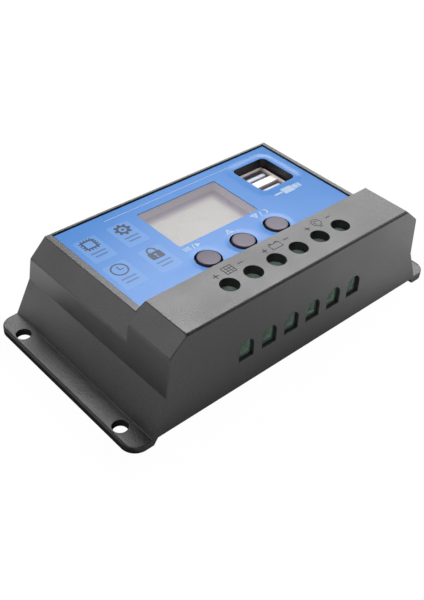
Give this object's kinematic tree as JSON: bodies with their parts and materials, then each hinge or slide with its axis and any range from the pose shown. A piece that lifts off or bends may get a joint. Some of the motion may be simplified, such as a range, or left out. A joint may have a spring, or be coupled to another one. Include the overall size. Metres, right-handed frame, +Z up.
{
  "type": "solar charge controller",
  "caption": "Flanged black charge controller with a blue face label, display, push buttons, upright charging sockets and screw terminals along its front.",
  "frame": {"origin": "middle of the mounting plane under the flanges", "axes": "+X along the length towards the charging sockets, +Y to the rear, away from the wire entries, +Z up out of the face"},
  "size_m": [0.1334, 0.07, 0.0348],
  "materials": {
    "case_plastic": "black moulded plastic, fine spark-eroded grain, satin",
    "label_film": "blue printed film under a clear gloss face",
    "clear_pane": "clear flat pane",
    "plate_alloy": "plain sheet, fine rolling grain",
    "fixing_steel": "zinc plated",
    "board_laminate": "green solder mask",
    "terminal_green": "green moulded polyamide",
    "clamp_steel": "nickel plated",
    "contact_tin": "tinned copper alloy",
    "display_face": "pale grey display glass, idle",
    "display_white": "white moulded plastic",
    "socket_tin": "bright tin plate",
    "socket_tongue": "pale moulded plastic",
    "button_grey": "grey moulded plastic, satin",
    "switch_black": "black moulded plastic",
    "package_black": "black moulded resin",
    "pad_grey": "soft grey heat pad",
    "can_sleeve": "dark blue shrink sleeve",
    "coil_ferrite": "dark ferrite"
  },
  "bodies": {
    "case": {"top_case": "case_plastic", "face_label": "label_film", "display_window": "clear_pane", "back_plate": "plate_alloy", "plate_screws": "fixing_steel", "main_board": "board_laminate", "board_screws": "fixing_steel", "solar_terminal_block": "terminal_green", "battery_terminal_block": "terminal_green", "load_terminal_block": "terminal_green", "contact_bars": "contact_tin", "display_glass": "display_face", "display_light": "display_white", "display_bracket": "display_white", "display_pins_row": "contact_tin", "socket_shell": "socket_tin", "socket_core": "socket_tongue", "socket_contacts": "contact_tin", "switch_bodies": "switch_black", "power_transistors": "package_black", "heat_pad": "pad_grey", "capacitors": "can_sleeve", "supply_coil": "coil_ferrite", "controller_chip": "package_black", "regulator_chip": "package_black"},
    "menu_button": {"button_menu": "button_grey", "plunger_menu": "switch_black"},
    "up_button": {"button_up": "button_grey", "plunger_up": "switch_black"},
    "down_button": {"button_down": "button_grey", "plunger_down": "switch_black"},
    "clamp_screw_1": {"terminal_screw_1": "fixing_steel"},
    "clamp_cage_1": {"terminal_cage_1": "clamp_steel"},
    "clamp_screw_2": {"terminal_screw_2": "fixing_steel"},
    "clamp_cage_2": {"terminal_cage_2": "clamp_steel"},
    "clamp_screw_3": {"terminal_screw_3": "fixing_steel"},
    "clamp_cage_3": {"terminal_cage_3": "clamp_steel"},
    "clamp_screw_4": {"terminal_screw_4": "fixing_steel"},
    "clamp_cage_4": {"terminal_cage_4": "clamp_steel"},
    "clamp_screw_5": {"terminal_screw_5": "fixing_steel"},
    "clamp_cage_5": {"terminal_cage_5": "clamp_steel"},
    "clamp_screw_6": {"terminal_screw_6": "fixing_steel"},
    "clamp_cage_6": {"terminal_cage_6": "clamp_steel"}
  },
  "joints": [
    {"name": "menu_press", "type": "slide", "parent": "case", "child": "menu_button", "axis": [0, 0, -1], "range_m": [0, 0.0004], "stiffness_N_per_m": 3000},
    {"name": "up_press", "type": "slide", "parent": "case", "child": "up_button", "axis": [0, 0, -1], "range_m": [0, 0.0004], "stiffness_N_per_m": 3000},
    {"name": "down_press", "type": "slide", "parent": "case", "child": "down_button", "axis": [0, 0, -1], "range_m": [0, 0.0004], "stiffness_N_per_m": 3000},
    {"name": "screw_1_turn", "type": "hinge", "parent": "case", "child": "clamp_screw_1", "pos_m": [-0.02375, -0.0254, 0.027], "axis": [0, 0, -1], "range_deg": [0, 1852]},
    {"name": "cage_1_lift", "type": "slide", "parent": "case", "child": "clamp_cage_1", "axis": [0, 0, 1], "range_m": [0, 0.0036]},
    {"name": "screw_2_turn", "type": "hinge", "parent": "case", "child": "clamp_screw_2", "pos_m": [-0.01425, -0.0254, 0.027], "axis": [0, 0, -1], "range_deg": [0, 1852]},
    {"name": "cage_2_lift", "type": "slide", "parent": "case", "child": "clamp_cage_2", "axis": [0, 0, 1], "range_m": [0, 0.0036]},
    {"name": "screw_3_turn", "type": "hinge", "parent": "case", "child": "clamp_screw_3", "pos_m": [-0.00475, -0.0254, 0.027], "axis": [0, 0, -1], "range_deg": [0, 1852]},
    {"name": "cage_3_lift", "type": "slide", "parent": "case", "child": "clamp_cage_3", "axis": [0, 0, 1], "range_m": [0, 0.0036]},
    {"name": "screw_4_turn", "type": "hinge", "parent": "case", "child": "clamp_screw_4", "pos_m": [0.00475, -0.0254, 0.027], "axis": [0, 0, -1], "range_deg": [0, 1852]},
    {"name": "cage_4_lift", "type": "slide", "parent": "case", "child": "clamp_cage_4", "axis": [0, 0, 1], "range_m": [0, 0.0036]},
    {"name": "screw_5_turn", "type": "hinge", "parent": "case", "child": "clamp_screw_5", "pos_m": [0.01425, -0.0254, 0.027], "axis": [0, 0, -1], "range_deg": [0, 1852]},
    {"name": "cage_5_lift", "type": "slide", "parent": "case", "child": "clamp_cage_5", "axis": [0, 0, 1], "range_m": [0, 0.0036]},
    {"name": "screw_6_turn", "type": "hinge", "parent": "case", "child": "clamp_screw_6", "pos_m": [0.02375, -0.0254, 0.027], "axis": [0, 0, -1], "range_deg": [0, 1852]},
    {"name": "cage_6_lift", "type": "slide", "parent": "case", "child": "clamp_cage_6", "axis": [0, 0, 1], "range_m": [0, 0.0036]}
  ],
  "couplings": [
    {"joint": "screw_1_turn", "follows": "cage_1_lift", "rad_per_m": 8976},
    {"joint": "screw_2_turn", "follows": "cage_2_lift", "rad_per_m": 8976},
    {"joint": "screw_3_turn", "follows": "cage_3_lift", "rad_per_m": 8976},
    {"joint": "screw_4_turn", "follows": "cage_4_lift", "rad_per_m": 8976},
    {"joint": "screw_5_turn", "follows": "cage_5_lift", "rad_per_m": 8976},
    {"joint": "screw_6_turn", "follows": "cage_6_lift", "rad_per_m": 8976}
  ]
}
